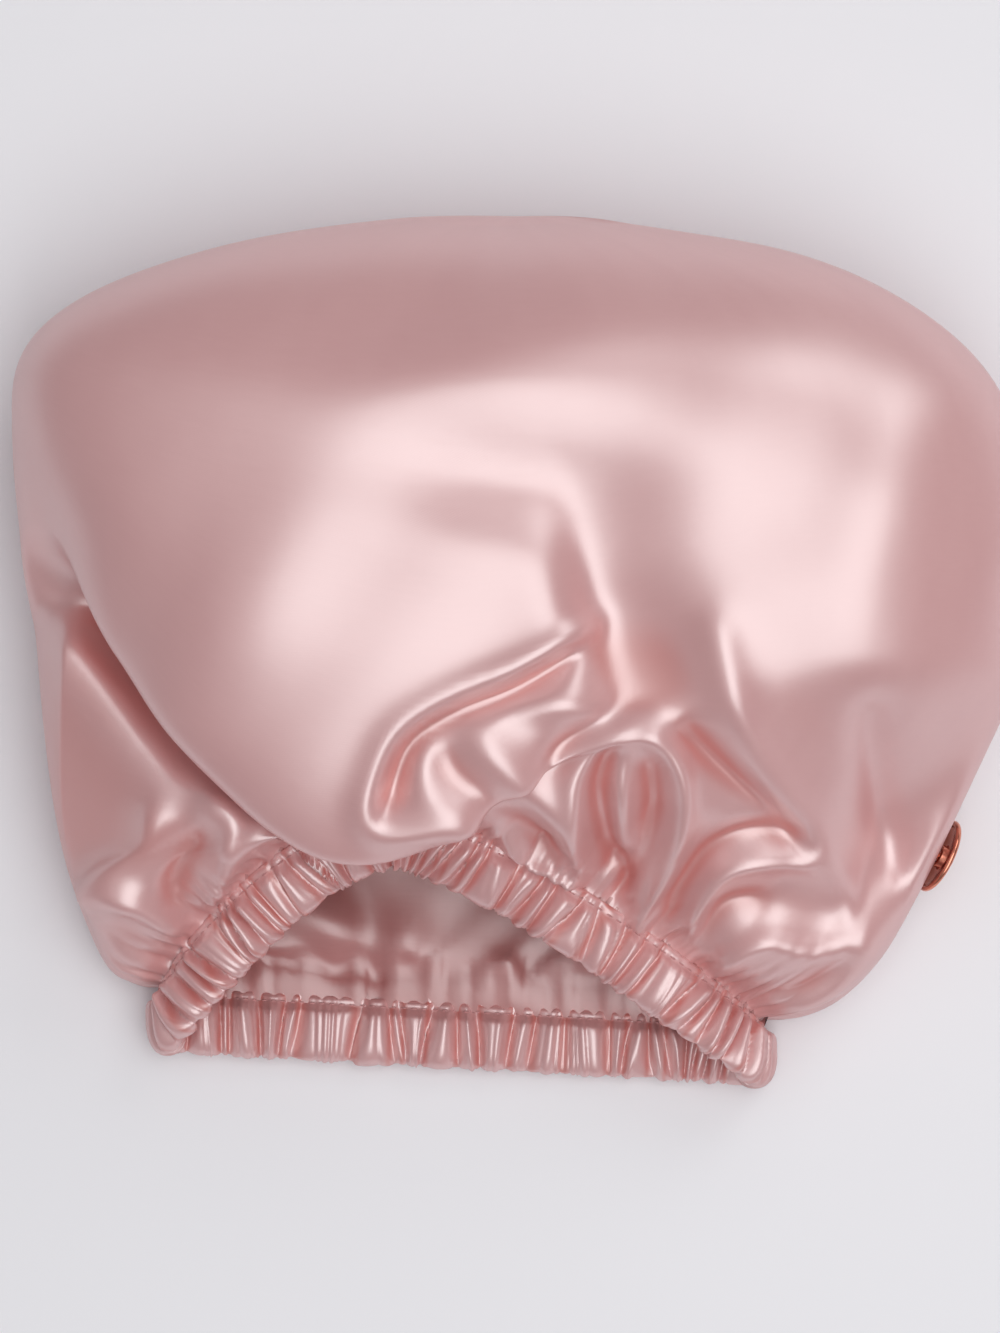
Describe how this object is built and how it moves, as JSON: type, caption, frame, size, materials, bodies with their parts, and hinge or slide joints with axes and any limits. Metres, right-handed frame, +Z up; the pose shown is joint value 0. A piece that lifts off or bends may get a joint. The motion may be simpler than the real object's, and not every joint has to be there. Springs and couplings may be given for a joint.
{
  "type": "shower cap",
  "caption": "Puffed satin shower cap with a gathered elastic hem round its mouth, a waterproof lining and a dished metal disc badge on a tack at one side.",
  "frame": {"origin": "on the table under the middle of the crown, on the flat patch that the cap rests on", "axes": "+Z up from the table, -Y out of the mouth, +X to the side with the badge"},
  "size_m": [0.2978, 0.2601, 0.099],
  "materials": {
    "satin": "pink satin weave, soft sheen",
    "lining": "pink coated cloth, soft sheen",
    "thread": "pink sewing thread",
    "elastic": "woven elastic, matt",
    "rose_gold": "polished rose gold plating"
  },
  "bodies": {
    "cap": {"crown_satin": "satin", "crown_lining": "lining", "casing_upper": "satin", "stitching_upper": "thread", "elastic_band": "elastic", "badge_collar": "rose_gold", "badge_tack": "rose_gold"},
    "lower_hem": {"casing_lower": "satin", "stitching_lower": "thread"},
    "badge": {"badge_disc": "rose_gold"}
  },
  "joints": [
    {"name": "mouth_stretch", "type": "slide", "parent": "cap", "child": "lower_hem", "axis": [0, -1, 0], "range_m": [0, 0.06], "stiffness_N_per_m": 40, "deforming": ["elastic_band"]},
    {"name": "badge_swivel", "type": "hinge", "parent": "cap", "child": "badge", "pos_m": [0.12176, -0.0615, 0.01903], "axis": [0.8648, -0.4252, -0.267], "continuous": true}
  ]
}
